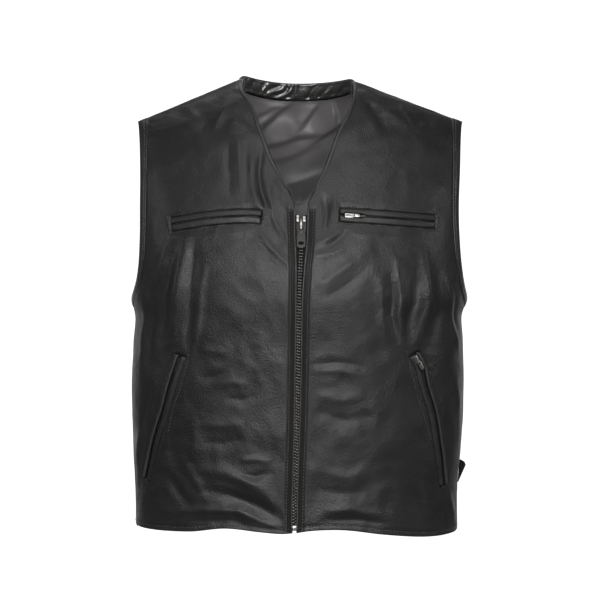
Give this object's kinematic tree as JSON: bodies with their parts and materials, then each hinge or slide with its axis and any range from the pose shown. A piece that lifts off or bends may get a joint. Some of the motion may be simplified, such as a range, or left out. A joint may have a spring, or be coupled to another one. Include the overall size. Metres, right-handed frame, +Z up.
{
  "type": "leather vest",
  "caption": "Sleeveless leather vest with a V neck, full-length front zip, zipped chest and slanted hand pockets and bound armholes, filled out as it is worn.",
  "frame": {"origin": "midway between the shoulders, at the height where the wearer's shoulders or a hanger carry the vest", "axes": "+Z up, -Y towards the front, +X towards the wearer's left"},
  "size_m": [0.4799, 0.2396, 0.6558],
  "materials": {
    "leather": "soft black leather with a low sheen",
    "trim": "black leather, folded and pressed",
    "satin": "dark grey satin lining",
    "tape": "woven black zip tape",
    "nickel": "bright nickel",
    "gunmetal": "dark nickel"
  },
  "bodies": {
    "vest": {"front_right": "leather", "front_left": "leather", "back": "leather", "armhole_band_right": "trim", "armhole_band_left": "trim", "neck_edge_right": "trim", "neck_edge_left": "trim", "collar_band": "trim", "back_lining": "satin", "zip_tape_right": "tape", "zip_tape_left": "tape", "zip_teeth": "gunmetal", "zip_stop": "nickel", "zip_slider": "nickel", "chest_pocket_right_lip_upper": "trim", "chest_pocket_right_lip_lower": "trim", "chest_pocket_right_zip": "tape", "chest_pocket_right_slider": "nickel", "chest_pocket_right_pull": "gunmetal", "chest_pocket_left_lip_upper": "trim", "chest_pocket_left_lip_lower": "trim", "chest_pocket_left_zip": "tape", "chest_pocket_left_slider": "nickel", "hand_pocket_right_lip_outer": "trim", "hand_pocket_right_lip_inner": "trim", "hand_pocket_right_zip": "tape", "hand_pocket_right_slider": "nickel", "hand_pocket_right_pull": "gunmetal", "hand_pocket_left_lip_outer": "trim", "hand_pocket_left_lip_inner": "trim", "hand_pocket_left_zip": "tape", "hand_pocket_left_slider": "nickel", "side_tab": "trim"},
    "zip_pull_tab": {"zip_pull": "gunmetal"},
    "chest_pocket_left_pull_tab": {"chest_pocket_left_pull": "gunmetal"},
    "hand_pocket_left_pull_tab": {"hand_pocket_left_pull": "gunmetal"}
  },
  "joints": [
    {"name": "zip_pull_swing", "type": "hinge", "parent": "vest", "child": "zip_pull_tab", "pos_m": [0.00444, -0.11796, -0.18548], "axis": [-0.9994, 0.0338, 0], "range_deg": [0, 150]},
    {"name": "chest_pocket_left_pull_swing", "type": "hinge", "parent": "vest", "child": "chest_pocket_left_pull_tab", "pos_m": [0.07539, -0.11112, -0.16815], "axis": [-0.0467, -0.239, -0.9699], "range_deg": [0, 150]},
    {"name": "hand_pocket_left_pull_swing", "type": "hinge", "parent": "vest", "child": "hand_pocket_left_pull_tab", "pos_m": [0.16844, -0.09878, -0.37208], "axis": [-0.7813, -0.3322, -0.5284], "range_deg": [0, 150]}
  ]
}
